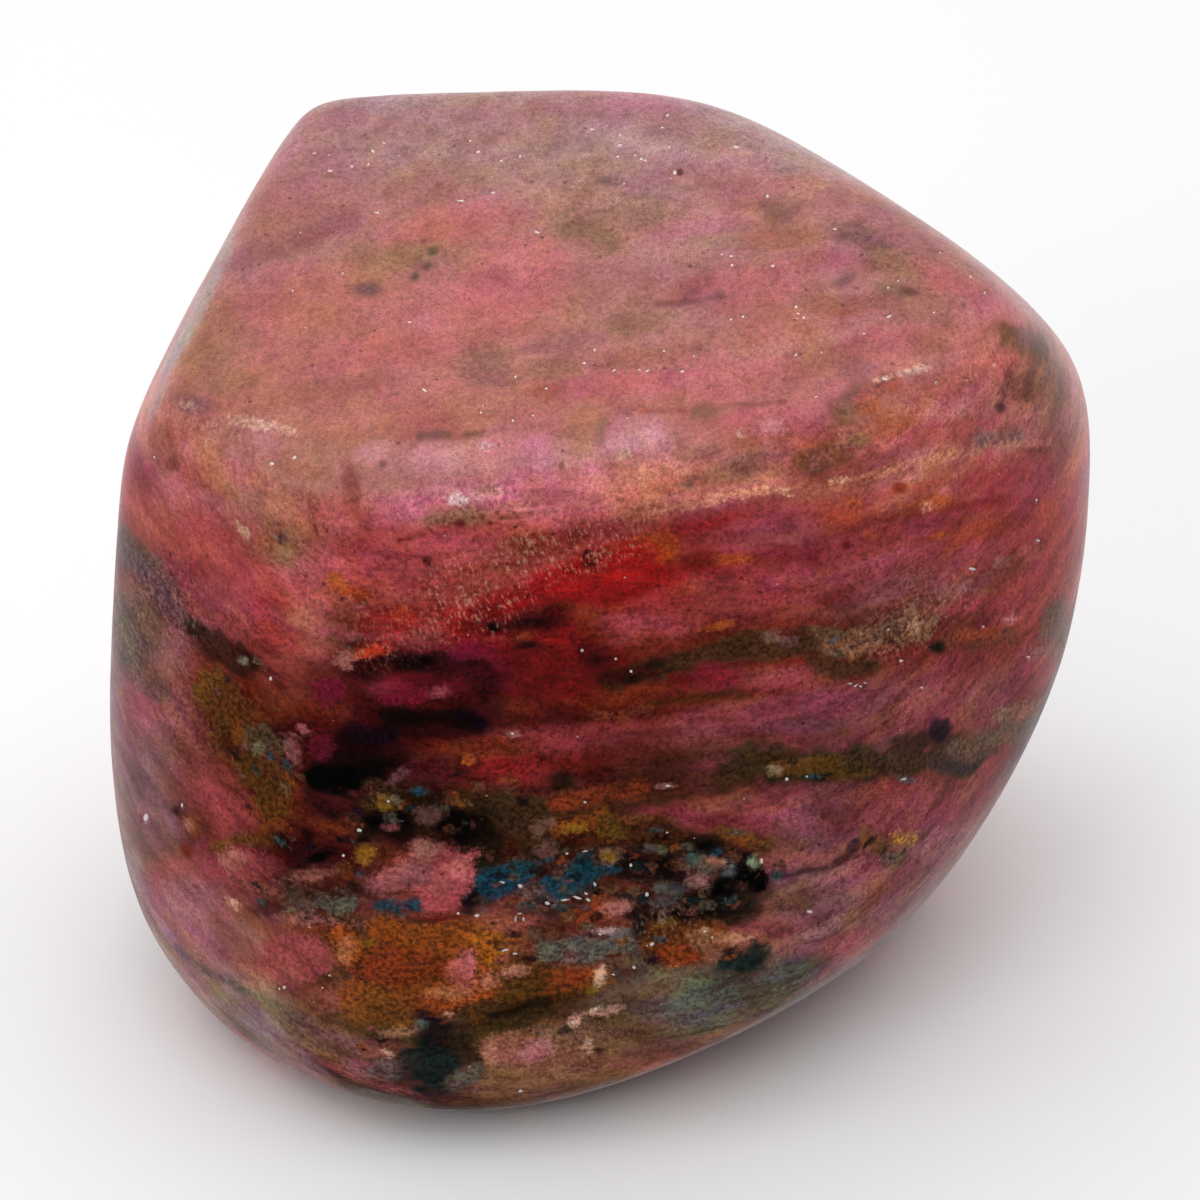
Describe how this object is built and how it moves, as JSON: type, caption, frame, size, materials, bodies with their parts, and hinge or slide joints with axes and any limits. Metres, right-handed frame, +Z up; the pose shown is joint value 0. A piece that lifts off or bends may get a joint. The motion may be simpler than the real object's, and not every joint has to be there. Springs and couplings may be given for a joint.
{
  "type": "rhodonite freeform",
  "caption": "Free-standing polished lump of banded pink rhodonite with broad soft ground facets and a flat lapped base to stand on.",
  "frame": {"origin": "bottom centre of the stone's bounding box, on the plane of its flat base", "axes": "+Z up, +X to the right of the broad front face and along the longest extent, -Y out of the front face, +Y along the shortest extent towards the back"},
  "size_m": [0.0768, 0.0538, 0.0712],
  "materials": {
    "rhodonite": "polished"
  },
  "bodies": {
    "root": {"rhodonite_stone": "rhodonite"}
  },
  "joints": []
}
